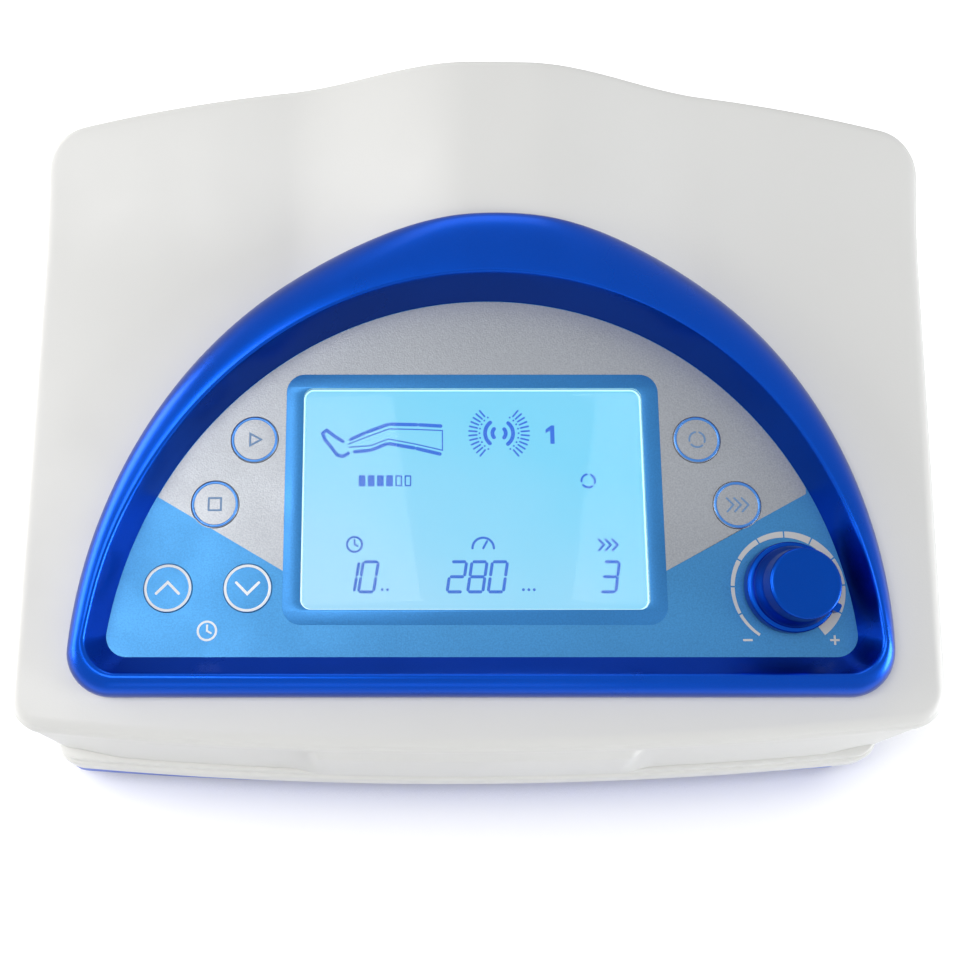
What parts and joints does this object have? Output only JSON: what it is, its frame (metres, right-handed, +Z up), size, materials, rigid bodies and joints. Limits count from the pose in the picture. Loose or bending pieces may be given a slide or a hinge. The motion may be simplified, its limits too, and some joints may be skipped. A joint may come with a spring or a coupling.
{
  "type": "compression therapy pump",
  "caption": "Table-top air pump for compression sleeves: wedge-shaped white case, raised blue half-moon bezel, sloping panel with lit display, round buttons and a stepped pressure knob.",
  "frame": {"origin": "on the surface the pump stands on, under the middle of its overall box", "axes": "+X to the right seen from the front, +Y to the back where hoses and mains plug in, +Z up; the panel faces up and forward (-Y)"},
  "size_m": [0.2605, 0.2002, 0.114],
  "materials": {
    "case_white": "fine satin moulding",
    "base_blue": "satin moulding",
    "foot_rubber": "matt",
    "screw_steel": "zinc plated",
    "bezel_blue": "metallic lacquer under clear coat",
    "panel_film": "printed film, silver wings over a blue field",
    "frame_blue": "printed film",
    "clear_window": "clear acrylic",
    "display_cyan": "backlit liquid crystal display",
    "inner_white": "moulded",
    "inner_grey": "moulded",
    "inner_black": "moulded",
    "circuit_board": "solder mask",
    "button_silver": "printed film over a key",
    "button_blue": "printed film over a key",
    "knob_blue": "metallic lacquer",
    "shaft_steel": "turned",
    "rear_grey": "fine texture",
    "socket_black": "satin",
    "contact_metal": "plated",
    "rocker_black": "satin",
    "socket_grey": "moulded",
    "lamination_iron": "laminated iron",
    "copper_winding": "enamelled copper wire",
    "wire_brown": "insulation",
    "pump_metal": "die cast",
    "filter_felt": "felt",
    "tube_silicone": "silicone rubber"
  },
  "bodies": {
    "housing": {"upper_case": "case_white", "lower_case": "case_white", "base_tray": "base_blue", "rubber_feet": "foot_rubber", "case_screws": "screw_steel", "bezel_ring": "bezel_blue", "control_panel": "panel_film", "panel_carrier": "inner_grey", "panel_screws": "screw_steel", "lcd_frame": "frame_blue", "lcd_window": "clear_window", "lcd_glass": "display_cyan", "lcd_backlight": "inner_white", "control_board": "circuit_board", "tact_switches": "inner_black", "buzzer": "inner_black", "potentiometer": "inner_black", "potentiometer_nut": "screw_steel", "rear_panel": "rear_grey", "rear_panel_screws": "screw_steel", "power_inlet": "socket_black", "inlet_pins": "contact_metal", "switch_frame": "socket_black", "hose_sockets": "socket_grey", "power_board": "circuit_board", "capacitors": "inner_black", "mains_fuse": "clear_window", "transformer_core": "lamination_iron", "transformer_coil": "copper_winding", "ribbon_cable": "inner_grey", "mains_wires": "wire_brown", "pump_frame": "pump_metal", "pump_mounts": "foot_rubber", "magnet_cores": "lamination_iron", "magnet_coils": "copper_winding", "pump_diaphragms": "foot_rubber", "pump_heads": "inner_white", "intake_filter": "filter_felt", "distributor_body": "inner_white", "distributor_motor": "pump_metal", "air_tubes": "tube_silicone", "pressure_sensor": "inner_black"},
    "start_key": {"start_button": "button_silver", "start_plunger": "inner_black"},
    "stop_key": {"stop_button": "button_silver", "stop_plunger": "inner_black"},
    "up_key": {"up_button": "button_blue", "up_plunger": "inner_black"},
    "down_key": {"down_button": "button_blue", "down_plunger": "inner_black"},
    "mode_key": {"mode_button": "button_silver", "mode_plunger": "inner_black"},
    "speed_key": {"speed_button": "button_silver", "speed_plunger": "inner_black"},
    "pressure_dial": {"pressure_knob": "knob_blue", "knob_shaft": "shaft_steel"},
    "rocker": {"switch_rocker": "rocker_black"},
    "armature": {"pump_armature": "pump_metal"},
    "rotor": {"distributor_rotor": "inner_white"}
  },
  "joints": [
    {"name": "start_press", "type": "slide", "parent": "housing", "child": "start_key", "axis": [0, 0.2419, -0.9703], "range_m": [0, 0.0008], "stiffness_N_per_m": 700, "springref_m": -0.001},
    {"name": "stop_press", "type": "slide", "parent": "housing", "child": "stop_key", "axis": [0, 0.2419, -0.9703], "range_m": [0, 0.0008], "stiffness_N_per_m": 700, "springref_m": -0.001},
    {"name": "up_press", "type": "slide", "parent": "housing", "child": "up_key", "axis": [0, 0.2419, -0.9703], "range_m": [0, 0.0008], "stiffness_N_per_m": 700, "springref_m": -0.001},
    {"name": "down_press", "type": "slide", "parent": "housing", "child": "down_key", "axis": [0, 0.2419, -0.9703], "range_m": [0, 0.0008], "stiffness_N_per_m": 700, "springref_m": -0.001},
    {"name": "mode_press", "type": "slide", "parent": "housing", "child": "mode_key", "axis": [0, 0.2419, -0.9703], "range_m": [0, 0.0008], "stiffness_N_per_m": 700, "springref_m": -0.001},
    {"name": "speed_press", "type": "slide", "parent": "housing", "child": "speed_key", "axis": [0, 0.2419, -0.9703], "range_m": [0, 0.0008], "stiffness_N_per_m": 700, "springref_m": -0.001},
    {"name": "pressure_turn", "type": "hinge", "parent": "housing", "child": "pressure_dial", "pos_m": [0.08322, -0.0557, 0.06455], "axis": [0, -0.2419, 0.9703], "range_deg": [-25, 263]},
    {"name": "rocker_tip", "type": "hinge", "parent": "housing", "child": "rocker", "pos_m": [-0.008, 0.0755, 0.048], "axis": [1, 0, 0], "range_deg": [-20, 0]},
    {"name": "armature_stroke", "type": "slide", "parent": "housing", "child": "armature", "axis": [1, 0, 0], "range_m": [-0.0012, 0.0012], "stiffness_N_per_m": 6000},
    {"name": "rotor_spin", "type": "hinge", "parent": "housing", "child": "rotor", "pos_m": [0.066, 0.02, 0.034], "axis": [0, 0, 1], "continuous": true}
  ]
}
